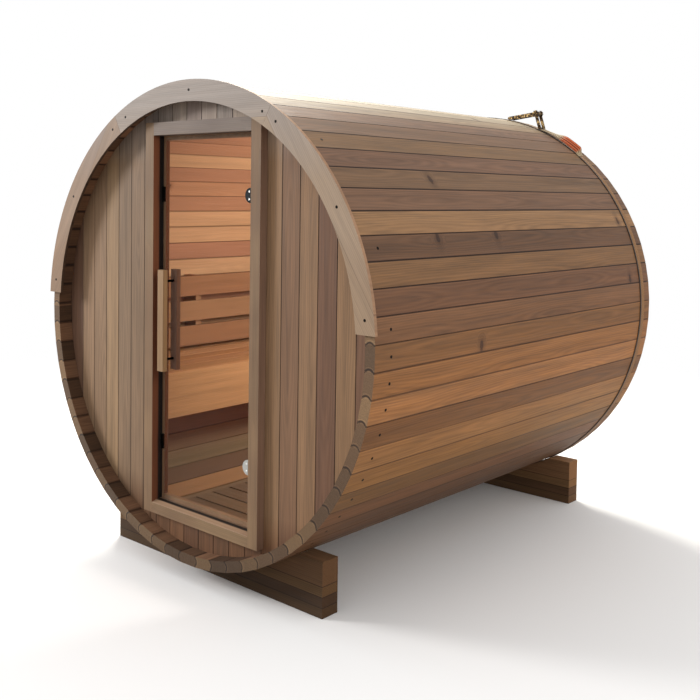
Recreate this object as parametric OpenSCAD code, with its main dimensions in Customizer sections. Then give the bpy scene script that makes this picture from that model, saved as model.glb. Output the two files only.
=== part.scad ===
// Outdoor barrel sauna: a barrel of bead-and-cove staves on two saddle cradles, with a recessed
// front wall, a glass door that swings outwards, a bench and a duckboard floor.
// Millimetres. X to the right, Y to the rear, Z up. The origin is on the ground under the middle.

/* [Barrel] */
// Diameter across the corners of the staves
barrel_d = 1828; // [1500:1:2200]
// Length of the staves
barrel_l = 2030; // [1600:1:2600]
// Thickness of a stave
stave_t = 41; // [34:1:50]
// Staves in each of the thirteen panels round the barrel
panel_staves = 5; // [4:1:6]
// Angle of the first seam above the horizontal
seam_angle = 2; // [0:0.1:5]
// How far the bead stands out of a stave's edge
bead_h = 9; // [6:0.5:11]
// Lip of a stave on each side of its bead
bead_lip = 4.5; // [4:0.5:6]
// Eased edge along every stave and board
ease = 1.6; // [0.8:0.1:2.5]
// Joint gap between neighbouring pieces
joint_gap = 0.4; // [0.3:0.05:0.6]

/* [End walls] */
// Distance from the stave ends to the wall faces
wall_recess = 62; // [45:1:90]
// Thickness of the wall boards
wall_t = 38; // [30:1:45]
// Depth of the groove that holds a wall in the staves
croze_depth = 8; // [5:0.5:12]
// Width of a wall board
board_w = 87; // [70:1:120]

/* [Arch] */
// Face width of the arch over the front
arch_w = 81; // [60:1:100]
// How far the arch reaches past the barrel
arch_over = 11; // [5:1:20]
// Thickness of the arch
arch_t = 13; // [10:1:25]
// Height of the arch's ends above the middle of the barrel
arch_end_h = 62; // [30:1:120]
// Angle of the arch's joints from the vertical
arch_joint = 29; // [20:1:35]

/* [Door frame] */
// Width of the door opening between the jambs
door_w = 558; // [500:1:640]
// Clear space between the corners of the door frame and the staves
door_margin = 16; // [10:1:60]
// Shift of the door to the right of the middle
door_shift = 29; // [0:1:40]
// Face width of the jambs, head and sill
frame_w = 50; // [40:1:55]
// How far the frame stands out of the wall
frame_proud = 32; // [20:1:40]
// Width of the stop strips behind the glass
stop_w = 18; // [12:1:24]
// Depth of the stop strips
stop_t = 18; // [12:1:22]
// Fall of the sill's top towards the front
sill_fall = 10; // [4:1:16]

/* [Door] */
// Thickness of the glass
glass_t = 8; // [6:1:10]
// Clear space round the glass
glass_clear = 6; // [5:0.5:8]
// Distance from the front of the frame to the glass
glass_set = 30; // [26:1:34]
// Distance from the glass to the hinge axis
hinge_reach = 12; // [11:0.5:14]
// Height of a hinge plate
hinge_h = 56; // [45:1:70]
// Reach of a hinge plate over the glass
hinge_w = 50; // [40:1:60]
// Thickness of a hinge plate
hinge_plate = 4; // [3:0.5:5]
// Radius of a hinge knuckle
knuckle_r = 6.5; // [5.5:0.5:7]
// Height of the upper hinge above the door's middle
hinge_up = 497; // [400:1:560]
// Depth of the lower hinge below the door's middle
hinge_down = 495; // [400:1:560]
// Length of the handle bars
handle_l = 400; // [250:1:500]
// Width of the handle bars
handle_w = 37; // [25:1:45]
// Thickness of the handle bars
handle_t = 22; // [16:1:26]
// Space between a handle bar and the glass
handle_gap = 18; // [12:1:22]
// Distance from the glass edge to the handle bars
handle_in = 35; // [25:1:60]
// Distance between the handle bolts
bolt_span = 310; // [180:1:380]
// Radius of the handle bolts
bolt_r = 5; // [4:0.5:7]

/* [Bench] */
// Height of the seat below the barrel's middle
seat_drop = 248; // [200:1:300]
// Distance of the bench's front from the barrel's middle
seat_front = 330; // [250:1:380]
// Space between the seat and the staves
seat_clear = 7; // [4:1:20]
// Number of seat boards
seat_boards = 5; // [4:1:5]
// Thickness of the bench boards
bench_t = 27; // [20:1:35]
// Space between the seat boards
seat_gap = 10; // [6:1:16]
// Height of the board along the front of the bench
apron_h = 190; // [120:1:240]
// Height of the bearers under the seat
bearer_h = 90; // [60:1:120]
// Thickness of the bearers
bearer_t = 38; // [28:1:50]
// Height of the backrest's lowest slat above the seat
back_rise = 17; // [10:1:60]
// Distance from the staves to the backrest's face
back_set = 112; // [95:1:150]
// Height of a backrest slat
back_slat = 95; // [70:1:110]
// Space between the backrest slats
back_gap = 25; // [15:1:35]
// Thickness of a backrest slat
back_t = 20; // [16:1:26]
// Number of backrest slats
back_count = 3; // [2:1:3]
// Width of the posts behind the backrest
post_w = 34; // [24:1:90]

/* [Floor] */
// Height of the floor's top above the lowest staves
floor_rise = 87; // [70:1:110]
// Thickness of the duckboard slats
slat_t = 22; // [16:1:26]
// Width of the duckboard slats
slat_w = 88; // [60:1:120]
// Space between the duckboard slats
slat_gap = 8; // [5:1:15]
// Distance of the runners from the middle
runner_x = 180; // [140:1:220]
// Width of the runners
runner_w = 45; // [35:1:60]
// Width of the strips along the ends of the slats
edge_w = 34; // [24:1:50]

/* [Cradles] */
// Clear height of the barrel above the ground
ground_gap = 70; // [40:1:120]
// Height of each flat board in the lower part of a cradle
cradle_board = 38; // [30:1:50]
// Number of flat boards under the top timber of a cradle
cradle_boards = 3; // [2:1:4]
// Height of the top timber of a cradle
cradle_top = 89; // [70:1:120]
// Thickness of a cradle
cradle_t = 81; // [60:1:120]
// Length of a cradle
cradle_l = 1184; // [900:1:1500]
// Distance from the front stave ends to the front cradle
cradle_front_set = 125; // [100:1:300]
// Distance from the rear stave ends to the rear cradle
cradle_rear_set = 43; // [20:1:300]

/* [Strap] */
// Width of the webbing
strap_w = 38; // [25:1:50]
// Thickness of the webbing
strap_t = 2.5; // [2:0.5:4]
// Distance from the rear stave ends to the middle of the strap
strap_set = 80; // [40:1:160]
// Angle of the ratchet above the horizontal
ratchet_angle = 72; // [60:0.5:100]
// Distance between the feet of the opened ratchet
ratchet_span = 184; // [140:1:220]
// Height of the opened ratchet's drum above the webbing
ratchet_rise = 66; // [50:1:90]
// Angle between the ratchet's foot and the loose end of the webbing
tail_start = 7; // [2:0.5:12]
// Angle that the loose end of the webbing covers
tail_angle = 10; // [8:1:40]

/* [Hidden] */
$fn = 96;
round_fn = 360;
eps = 1;
panel_count = 13;
stave_count = panel_count * panel_staves;
stave_step = 360 / stave_count;
half_step = stave_step / 2;
outer_r = barrel_d / 2;
outer_flat = outer_r * cos(half_step);
inner_flat = outer_flat - stave_t;
stave_mid = (outer_flat + inner_flat) / 2;
bead_chord = stave_t - 2 * bead_lip;
bead_r = (bead_chord * bead_chord / 4 + bead_h * bead_h) / (2 * bead_h);
axis_h = outer_r + ground_gap;
y_front = -(barrel_l - arch_t) / 2;
y_rear = y_front + barrel_l;

wall_front = y_front + wall_recess;
wall_rear = y_rear - wall_recess - wall_t;
wall_r = inner_flat + croze_depth - joint_gap;
board_half = floor(wall_r / board_w);

frame_left = door_shift - door_w / 2 - frame_w;
frame_right = door_shift + door_w / 2 + frame_w;
jamb_left = frame_left + frame_w;
jamb_right = frame_right - frame_w;
frame_reach = max(frame_right, -frame_left);
frame_high = sqrt(pow(inner_flat - door_margin, 2) - frame_reach * frame_reach);
frame_low = -frame_high;
head_low = frame_high - frame_w;
sill_top = frame_low + frame_w;
frame_front = wall_front - frame_proud;
frame_back = wall_front + wall_t;

glass_front = frame_front + glass_set;
glass_back = glass_front + glass_t;
glass_left = jamb_left + glass_clear;
glass_right = jamb_right - glass_clear;
knuckle_set = 4 * joint_gap;
hinge_x = jamb_right - knuckle_set - knuckle_r;
hinge_y = glass_front - hinge_reach;
pin_r = knuckle_r / 2;
pin_clear = 0.3;
leaf_t = 3;
knuckle_share = 0.42;
knuckle_h = knuckle_share * hinge_h;
stop_clear = 6;
stop_front = glass_back + hinge_plate + joint_gap + stop_clear;
handle_x = glass_left + handle_in;

cabin_front = wall_front + wall_t + joint_gap;
cabin_rear = wall_rear - joint_gap;
cabin_l = cabin_rear - cabin_front;
bench_clear = 2;
bench_front = cabin_front + bench_clear;
bench_l = cabin_l - 2 * bench_clear;
seat_edge = sqrt(inner_flat * inner_flat - pow(seat_drop + bench_t, 2)) - seat_clear;
seat_start = seat_front + bench_t + joint_gap;
seat_w = (seat_edge - seat_start - (seat_boards - 1) * seat_gap) / seat_boards;
support_count = 4;
back_x = inner_flat - back_set;
back_low = back_rise - seat_drop;
floor_drop = inner_flat - floor_rise;
floor_half = sqrt(inner_flat * inner_flat - pow(floor_drop + slat_t, 2)) - 2 * joint_gap;
floor_slats_n = floor((cabin_l + slat_gap) / (slat_w + slat_gap));
floor_l = floor_slats_n * (slat_w + slat_gap) - slat_gap;
floor_start = cabin_front + (cabin_l + slat_gap - floor_slats_n * (slat_w + slat_gap)) / 2;

cradle_heights = [for (k = [0 : cradle_boards]) k < cradle_boards ? cradle_board : cradle_top];
strap_r = outer_r + joint_gap;
strap_y = y_rear - strap_set;

// Moves a shape from the barrel's middle to its place above the ground.
module at_axis() {
    translate([0, 0, axis_h]) children();
}

// A drawing in X and Z, carried along Y from y0 to y1.
module along_y(y0, y1) {
    translate([0, y1, 0]) rotate([90, 0, 0]) linear_extrude(y1 - y0) children();
}

// A box between two corners.
module block(low, high) {
    translate(low) cube(high - low);
}

// Half the width of a stave at a distance from the barrel's middle.
function stave_half(r) = r * tan(half_step) - joint_gap / 2;

// A bead or its cove on one edge of a stave: side is 1 for the edge at the higher angle.
module stave_edge(side, points_up, r) {
    bead_back = bead_r - bead_h + joint_gap / 2;
    rotate(side * half_step) translate([stave_mid, points_up ? -bead_back : bead_back]) circle(r);
}

// Section of a stave: a flat-faced board whose edges have a bead or a cove. The beads point up on
// both sides of the barrel, so the lowest stave has two beads and the last one two coves.
module stave_section(high_up, low_up) {
    difference() {
        union() {
            polygon([
                [inner_flat, ease - stave_half(inner_flat)],
                [inner_flat + ease, -stave_half(inner_flat + ease)],
                [outer_flat - ease, -stave_half(outer_flat - ease)],
                [outer_flat, ease - stave_half(outer_flat)],
                [outer_flat, stave_half(outer_flat) - ease],
                [outer_flat - ease, stave_half(outer_flat - ease)],
                [inner_flat + ease, stave_half(inner_flat + ease)],
                [inner_flat, stave_half(inner_flat) - ease]
            ]);
            if (high_up) stave_edge(1, true, bead_r);
            if (!low_up) stave_edge(-1, false, bead_r);
        }
        if (!high_up) stave_edge(1, false, bead_r + joint_gap);
        if (low_up) stave_edge(-1, true, bead_r + joint_gap);
    }
}

// True where the seam at an angle lies on the right of the barrel, so that its bead points to higher
// angles.
function seam_right(angle) = cos(angle) > 0;

// One stave, with the grooves that hold the end walls.
module stave(angle) {
    groove_l = wall_t + 2 * joint_gap;
    groove_w = barrel_d / 4;
    translate([0, y_rear, axis_h]) rotate([90, 0, 0]) rotate(angle) difference() {
        linear_extrude(barrel_l)
            stave_section(seam_right(angle + half_step), seam_right(angle - half_step));
        for (z = [wall_recess - joint_gap, barrel_l - wall_recess - wall_t - joint_gap])
            translate([inner_flat - eps, -groove_w / 2, z])
                cube([croze_depth + eps, groove_w, groove_l]);
    }
}

// A panel of neighbouring staves; panel 1 starts at the first seam on the right.
module stave_panel(panel) {
    color("peru")
        for (k = [0 : panel_staves - 1])
            stave(seam_angle + half_step + ((panel - 1) * panel_staves + k) * stave_step);
}

// A vertical wall board with eased edges, from x0 to x1 and tall enough to cross the barrel.
module wall_board(x0, x1, y0) {
    translate([0, 0, -barrel_d / 2]) linear_extrude(barrel_d)
        polygon([
            [x0 + ease, y0], [x1 - ease, y0], [x1, y0 + ease], [x1, y0 + wall_t - ease],
            [x1 - ease, y0 + wall_t], [x0 + ease, y0 + wall_t], [x0, y0 + wall_t - ease],
            [x0, y0 + ease]
        ]);
}

// The boards of an end wall between two places across the barrel, cut to its groove.
module wall_boards(y0, left, right) {
    intersection() {
        for (k = [-board_half : board_half - 1]) {
            seam0 = k == -board_half ? -wall_r - eps : k * board_w;
            seam1 = k == board_half - 1 ? wall_r + eps : (k + 1) * board_w;
            x0 = max(seam0, left) + joint_gap / 2;
            x1 = min(seam1, right) - joint_gap / 2;
            if (x1 - x0 > 4 * ease) wall_board(x0, x1, y0);
        }
        along_y(y0 - eps, y0 + wall_t + eps) circle(wall_r, $fn = round_fn);
    }
}

module front_wall_left() {
    color("sienna") at_axis() wall_boards(wall_front, -wall_r - 2 * eps, frame_left);
}

module front_wall_right() {
    color("sienna") at_axis() wall_boards(wall_front, frame_right, wall_r + 2 * eps);
}

module front_wall_top() {
    color("sienna") at_axis() intersection() {
        wall_boards(wall_front, frame_left, frame_right);
        block([frame_left, wall_front - eps, frame_high + joint_gap],
            [frame_right, frame_back + eps, outer_r]);
    }
}

module front_wall_bottom() {
    color("sienna") at_axis() intersection() {
        wall_boards(wall_front, frame_left, frame_right);
        block([frame_left, wall_front - eps, -outer_r],
            [frame_right, frame_back + eps, frame_low - joint_gap]);
    }
}

module rear_wall() {
    color("sienna") at_axis() wall_boards(wall_rear, -wall_r - 2 * eps, wall_r + 2 * eps);
}

// The arch board on the stave ends, between two angles from the horizontal.
module arch_piece(from, to) {
    reach = 2 * barrel_d;
    color("tan") at_axis() intersection() {
        along_y(y_front - arch_t, y_front - joint_gap) difference() {
            circle(outer_r + arch_over, $fn = round_fn);
            circle(outer_r + arch_over - arch_w, $fn = round_fn);
        }
        along_y(y_front - arch_t - eps, y_front + eps)
            polygon([[0, 0], reach * [cos(from), sin(from)], reach * [cos(to), sin(to)]]);
        block([-barrel_d, y_front - arch_t - eps, arch_end_h],
            [barrel_d, y_front + eps, barrel_d]);
    }
}

module arch_left() {
    arch_piece(90 + arch_joint, 180);
}

module arch_top() {
    gap_angle = 2 * joint_gap / outer_r * 90 / PI;
    arch_piece(90 - arch_joint + gap_angle, 90 + arch_joint - gap_angle);
}

module arch_right() {
    arch_piece(0, 90 - arch_joint);
}

module door_jamb_left() {
    color("burlywood") at_axis()
        block([frame_left, frame_front, frame_low], [jamb_left, frame_back, frame_high]);
}

module door_jamb_right() {
    color("burlywood") at_axis()
        block([jamb_right, frame_front, frame_low], [frame_right, frame_back, frame_high]);
}

module door_head() {
    color("burlywood") at_axis()
        block([jamb_left + joint_gap, frame_front, head_low],
            [jamb_right - joint_gap, frame_back, frame_high]);
}

// The sill, with a top that sheds water to the front.
module door_sill() {
    color("burlywood") at_axis()
        translate([jamb_left + joint_gap, 0, 0]) rotate([90, 0, 90])
            linear_extrude(door_w - 2 * joint_gap)
                polygon([
                    [frame_front, frame_low], [frame_back, frame_low], [frame_back, sill_top],
                    [glass_back, sill_top], [frame_front + ease, sill_top - sill_fall + ease],
                    [frame_front, sill_top - sill_fall]
                ]);
}

// Strips round the opening that the closed door comes up to.
module door_stops() {
    stop_back = stop_front + stop_t;
    color("saddlebrown") at_axis() {
        block([jamb_left + joint_gap, stop_front, sill_top + joint_gap],
            [jamb_left + stop_w, stop_back, head_low - joint_gap]);
        block([jamb_right - stop_w, stop_front, sill_top + joint_gap],
            [jamb_right - joint_gap, stop_back, head_low - joint_gap]);
        block([jamb_left + stop_w + joint_gap, stop_front, head_low - stop_w],
            [jamb_right - stop_w - joint_gap, stop_back, head_low - joint_gap]);
        block([jamb_left + stop_w + joint_gap, stop_front, sill_top + joint_gap],
            [jamb_right - stop_w - joint_gap, stop_back, sill_top + stop_w]);
    }
}

// Small catches on the left stop, level with the hinges.
module jamb_catches() {
    catch_h = 60;
    catch_t = 5;
    color("dimgray") at_axis()
        for (z = [hinge_up, -hinge_down])
            block([jamb_left + joint_gap, stop_front - catch_t - joint_gap, z - catch_h / 2],
                [jamb_left + stop_w, stop_front - joint_gap, z + catch_h / 2]);
}

// A vertical rod on the hinge axis.
module knuckle(z, h, r) {
    translate([hinge_x, hinge_y, z - h / 2]) cylinder(h = h, r = r);
}

// The hinge leaves on the right jamb, each with two knuckles and the pin.
module hinge_leaves() {
    outer_h = (hinge_h - knuckle_h) / 2 - joint_gap;
    color("gray") at_axis()
        for (z = [hinge_up, -hinge_down]) {
            block([jamb_right - leaf_t - joint_gap, hinge_y - knuckle_r, z - hinge_h / 2],
                [jamb_right - joint_gap, hinge_y + knuckle_r, z - hinge_h / 2 + outer_h]);
            block([jamb_right - leaf_t - joint_gap, hinge_y - knuckle_r, z + hinge_h / 2 - outer_h],
                [jamb_right - joint_gap, hinge_y + knuckle_r, z + hinge_h / 2]);
            for (s = [-1, 1]) knuckle(z + s * (hinge_h - outer_h) / 2, outer_h, knuckle_r);
            knuckle(z, hinge_h, pin_r);
        }
}

// A plate with one round end, as wide as a hinge's reach over the glass.
module hinge_plate_shape(z) {
    translate([glass_right - hinge_w + hinge_h / 2, z]) circle(hinge_h / 2);
    translate([glass_right - hinge_w + hinge_h / 2, z - hinge_h / 2])
        square([hinge_w - hinge_h / 2, hinge_h]);
}

// The clamps that hold the glass between two plates and turn on the pins.
module hinge_clamps() {
    color("silver") at_axis()
        for (z = [hinge_up, -hinge_down]) {
            difference() {
                union() {
                    along_y(glass_front - hinge_plate - joint_gap, glass_front - joint_gap)
                        hinge_plate_shape(z);
                    knuckle(z, knuckle_h, knuckle_r);
                    block([hinge_x - knuckle_r, hinge_y, z - knuckle_h / 2],
                        [glass_right, glass_front - joint_gap, z + knuckle_h / 2]);
                }
                knuckle(z, hinge_h, pin_r + pin_clear);
            }
            along_y(glass_back + joint_gap, glass_back + joint_gap + hinge_plate)
                hinge_plate_shape(z);
        }
}

module door_glass() {
    color("lightblue", 0.4) at_axis() difference() {
        block([glass_left, glass_front, sill_top + glass_clear],
            [glass_right, glass_back, head_low - glass_clear]);
        for (s = [-1, 1])
            translate([handle_x + handle_w / 2, glass_front - eps, s * bolt_span / 2])
                rotate([-90, 0, 0]) cylinder(h = glass_t + 2 * eps, r = bolt_r + joint_gap);
    }
}

// A handle bar with eased corners, whose face is at y0.
module handle_bar(y0) {
    at_axis() translate([handle_x, y0, -handle_l / 2]) linear_extrude(handle_l)
        polygon([
            [ease, 0], [handle_w - ease, 0], [handle_w, ease], [handle_w, handle_t - ease],
            [handle_w - ease, handle_t], [ease, handle_t], [0, handle_t - ease], [0, ease]
        ]);
}

module handle_outer() {
    color("wheat") handle_bar(glass_front - handle_gap - handle_t);
}

module handle_inner() {
    color("saddlebrown") handle_bar(glass_back + handle_gap);
}

// Bolts that go through the glass from bar to bar.
module handle_bolts() {
    color("gray") at_axis()
        for (s = [-1, 1])
            translate([handle_x + handle_w / 2, glass_front - handle_gap + joint_gap,
                s * bolt_span / 2])
                rotate([-90, 0, 0])
                    cylinder(h = 2 * handle_gap + glass_t - 2 * joint_gap, r = bolt_r);
}

// Seat boards along the left side.
module bench_seat() {
    color("chocolate") at_axis()
        for (k = [0 : seat_boards - 1]) {
            x1 = -seat_start - k * (seat_w + seat_gap);
            block([x1 - seat_w, bench_front, -seat_drop - bench_t],
                [x1, bench_front + bench_l, -seat_drop]);
        }
}

// The wide board that closes the front of the bench.
module bench_apron() {
    color("chocolate") at_axis()
        block([-seat_front - bench_t, bench_front, -seat_drop - apron_h],
            [-seat_front, bench_front + bench_l, -seat_drop]);
}

// Front edge of one of the supports, spread evenly along the bench.
function support_y(k, width) = bench_front + k * (bench_l - width) / (support_count - 1);

// Bearers under the seat, cut to the round of the staves.
module bench_bearers() {
    top = -seat_drop - bench_t - joint_gap;
    color("saddlebrown") at_axis()
        for (k = [0 : support_count - 1])
            along_y(support_y(k, bearer_t), support_y(k, bearer_t) + bearer_t) intersection() {
                circle(inner_flat - joint_gap, $fn = round_fn);
                translate([-outer_r, top - bearer_h])
                    square([outer_r - seat_start, bearer_h]);
            }
}

// Slats along the backrest.
module backrest_slats() {
    color("chocolate") at_axis()
        for (k = [0 : back_count - 1])
            block([-back_x - back_t, bench_front, back_low + k * (back_slat + back_gap)],
                [-back_x, bench_front + bench_l, back_low + k * (back_slat + back_gap) + back_slat]);
}

// Posts between the backrest and the staves.
module backrest_posts() {
    post_h = back_count * (back_slat + back_gap) - back_gap;
    color("saddlebrown") at_axis()
        for (k = [0 : support_count - 1])
            along_y(support_y(k, post_w), support_y(k, post_w) + post_w) intersection() {
                circle(inner_flat - joint_gap, $fn = round_fn);
                translate([-outer_r, back_low])
                    square([outer_r - back_x - back_t - joint_gap, post_h]);
            }
}

// Duckboard slats across the floor, and the strips along their ends.
module floor_slats() {
    slat_half = floor_half - edge_w - joint_gap;
    color("tan") at_axis() {
        for (k = [0 : floor_slats_n - 1]) {
            y0 = floor_start + k * (slat_w + slat_gap);
            block([-slat_half, y0, -floor_drop - slat_t], [slat_half, y0 + slat_w, -floor_drop]);
        }
        for (s = [-1, 1])
            translate([s * (floor_half - edge_w / 2) - edge_w / 2, floor_start, -floor_drop - slat_t])
                cube([edge_w, floor_l, slat_t]);
    }
}

// Runners that carry the slats, cut to the round of the staves.
module floor_runners() {
    top = -floor_drop - slat_t - joint_gap;
    color("saddlebrown") at_axis()
        for (x = [-runner_x, runner_x])
            along_y(floor_start, floor_start + floor_l)
                intersection() {
                    circle(inner_flat - joint_gap, $fn = round_fn);
                    translate([x - runner_w / 2, -outer_r]) square([runner_w, outer_r + top]);
                }
}

// A cradle of flat boards under a taller timber, sawn to a saddle of the given radius.
module cradle(y0, saddle_r) {
    color("sienna")
        for (k = [0 : cradle_boards])
            along_y(y0, y0 + cradle_t) difference() {
                translate([-cradle_l / 2, k * cradle_board])
                    square([cradle_l, cradle_heights[k] - joint_gap]);
                translate([0, axis_h]) circle(saddle_r, $fn = round_fn);
            }
}

module cradle_front() {
    cradle(y_front + cradle_front_set, outer_r + joint_gap);
}

module cradle_rear() {
    cradle(y_rear - cradle_rear_set - cradle_t, strap_r + strap_t + joint_gap);
}

// The taut webbing round the barrel.
module strap_band() {
    color("goldenrod") at_axis()
        along_y(strap_y - strap_w / 2, strap_y + strap_w / 2) difference() {
            circle(strap_r + strap_t, $fn = round_fn);
            circle(strap_r, $fn = round_fn);
        }
}

// One leg of the ratchet: a pair of side plates between two points, given as height and reach.
module ratchet_leg(from, to, width) {
    plate_t = 3;
    run = to - from;
    for (s = [-1, 1])
        translate([from[0], s * (strap_w + plate_t) / 2, from[1]])
            rotate([0, atan2(run[0], run[1]), 0])
                translate([-width / 2, -plate_t / 2, 0]) cube([width, plate_t, norm(run)]);
}

// A rod across the ratchet, at a height and reach.
module ratchet_rod(at, r) {
    rod_out = 6;
    rod_l = strap_w + 2 * rod_out;
    translate([at[0], -rod_l / 2, at[1]]) rotate([-90, 0, 0]) cylinder(h = rod_l, r = r);
}

// The opened ratchet: its frame and its lever lean on each other, with the drum between them.
module strap_ratchet() {
    seat = strap_r + strap_t + joint_gap;
    foot_r = 6;
    drum_r = 11;
    leg_w = 16;
    foot_h = leg_w / 2 - 2 * joint_gap;
    sag = seat - sqrt(seat * seat - pow(ratchet_span / 2, 2));
    frame_foot = [foot_h - sag, -ratchet_span / 2];
    lever_foot = [foot_h - sag, ratchet_span / 2];
    drum = [ratchet_rise, -ratchet_span / 4];
    color("darkgoldenrod") at_axis() rotate([0, -ratchet_angle, 0]) translate([seat, strap_y, 0]) {
        ratchet_leg(frame_foot, drum, leg_w);
        ratchet_leg(lever_foot, drum, leg_w);
        ratchet_rod(frame_foot, foot_r);
        ratchet_rod(lever_foot, foot_r);
        ratchet_rod(drum, drum_r);
    }
}

// The loose end of the webbing, standing on its edge over the band below the ratchet.
module strap_tail() {
    reach = 2 * barrel_d;
    from = ratchet_angle - asin(ratchet_span / 2 / strap_r) - tail_start;
    low_r = strap_r + strap_t + joint_gap;
    color("orangered") at_axis()
        along_y(strap_y - strap_t / 2, strap_y + strap_t / 2) intersection() {
            difference() {
                circle(low_r + strap_w, $fn = round_fn);
                circle(low_r, $fn = round_fn);
            }
            polygon([[0, 0], reach * [cos(from - tail_angle), sin(from - tail_angle)],
                reach * [cos(from), sin(from)]]);
        }
}

cradle_front();
cradle_rear();
stave_panel(1);  // stave_panel_01
stave_panel(2);  // stave_panel_02
stave_panel(3);  // stave_panel_03
stave_panel(4);  // stave_panel_04
stave_panel(5);  // stave_panel_05
stave_panel(6);  // stave_panel_06
stave_panel(7);  // stave_panel_07
stave_panel(8);  // stave_panel_08
stave_panel(9);  // stave_panel_09
stave_panel(10);  // stave_panel_10
stave_panel(11);  // stave_panel_11
stave_panel(12);  // stave_panel_12
stave_panel(13);  // stave_panel_13
front_wall_left();
front_wall_right();
front_wall_top();
front_wall_bottom();
rear_wall();
arch_left();
arch_top();
arch_right();
door_jamb_left();
door_jamb_right();
door_head();
door_sill();
door_stops();
jamb_catches();
hinge_leaves();
hinge_clamps();
door_glass();
handle_outer();
handle_inner();
handle_bolts();
bench_seat();
bench_apron();
bench_bearers();
backrest_slats();
backrest_posts();
floor_slats();
floor_runners();
strap_band();
strap_ratchet();
strap_tail();
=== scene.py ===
import math

import bmesh
import bpy
import numpy as np
from mathutils import Matrix, Vector


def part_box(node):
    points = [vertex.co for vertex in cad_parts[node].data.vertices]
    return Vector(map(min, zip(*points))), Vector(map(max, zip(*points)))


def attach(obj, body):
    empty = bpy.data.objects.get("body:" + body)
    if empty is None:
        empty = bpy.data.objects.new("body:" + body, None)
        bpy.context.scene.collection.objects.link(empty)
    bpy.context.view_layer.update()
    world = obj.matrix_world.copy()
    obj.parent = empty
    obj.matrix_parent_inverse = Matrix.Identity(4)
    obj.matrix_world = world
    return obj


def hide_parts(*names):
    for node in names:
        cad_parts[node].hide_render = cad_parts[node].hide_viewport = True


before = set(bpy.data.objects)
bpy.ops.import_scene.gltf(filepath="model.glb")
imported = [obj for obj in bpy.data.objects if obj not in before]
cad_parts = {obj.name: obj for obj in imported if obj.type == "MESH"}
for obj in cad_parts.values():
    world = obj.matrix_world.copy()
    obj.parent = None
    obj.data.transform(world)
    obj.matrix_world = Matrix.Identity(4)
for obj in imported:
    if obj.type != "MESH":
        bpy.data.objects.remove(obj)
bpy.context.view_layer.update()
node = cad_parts


# Cradles: two saddles that carry the barrel. Each is three flat cedar boards under a taller timber,
# glued and screwed in a stack, then sawn to the barrel's round. They are left rough and dark.
def linear(code):
    """An sRGB hex colour as linear RGBA: a channel c becomes ((c + 0.055) / 1.055) to the power 2.4."""
    c = np.array([int(code[k:k + 2], 16) for k in (1, 3, 5)]) / 255
    c = np.where(c <= 0.04045, c / 12.92, ((c + 0.055) / 1.055) ** 2.4)
    return (*c.tolist(), 1.0)


def finish_of(name):
    """A new material of that name, emptied, and its node tree."""
    made = bpy.data.materials.new(name)
    made.use_nodes = True
    made.node_tree.nodes.clear()
    return made, made.node_tree


def dress(made, *names):
    """Gives CAD nodes a material in place of the plain one that they come with."""
    for name in names:
        node[name].data.materials.clear()
        node[name].data.materials.append(made)


def add(tree, kind, *inputs, out=0, ramp=(), named=(), **settings):
    """Adds a node, sets it up, fills its inputs in order or by name, and gives one of its outputs."""
    made = tree.nodes.new("ShaderNode" + kind)
    for key, value in settings.items():
        setattr(made, key, value)
    for place, (at, code) in enumerate(ramp):
        stops = made.color_ramp.elements
        stop = stops[place] if place < 2 else stops.new(at)
        stop.position = at
        stop.color = linear(code) if isinstance(code, str) else (code, code, code, 1)
    by_name = ((made.inputs[key], value) for key, value in dict(named).items())
    for socket, value in [*zip(made.inputs, inputs), *by_name]:
        if isinstance(value, bpy.types.NodeSocket):
            tree.links.new(value, socket)
        elif value is not None:
            socket.default_value = value
    return made.outputs[out] if len(made.outputs) else made


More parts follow.
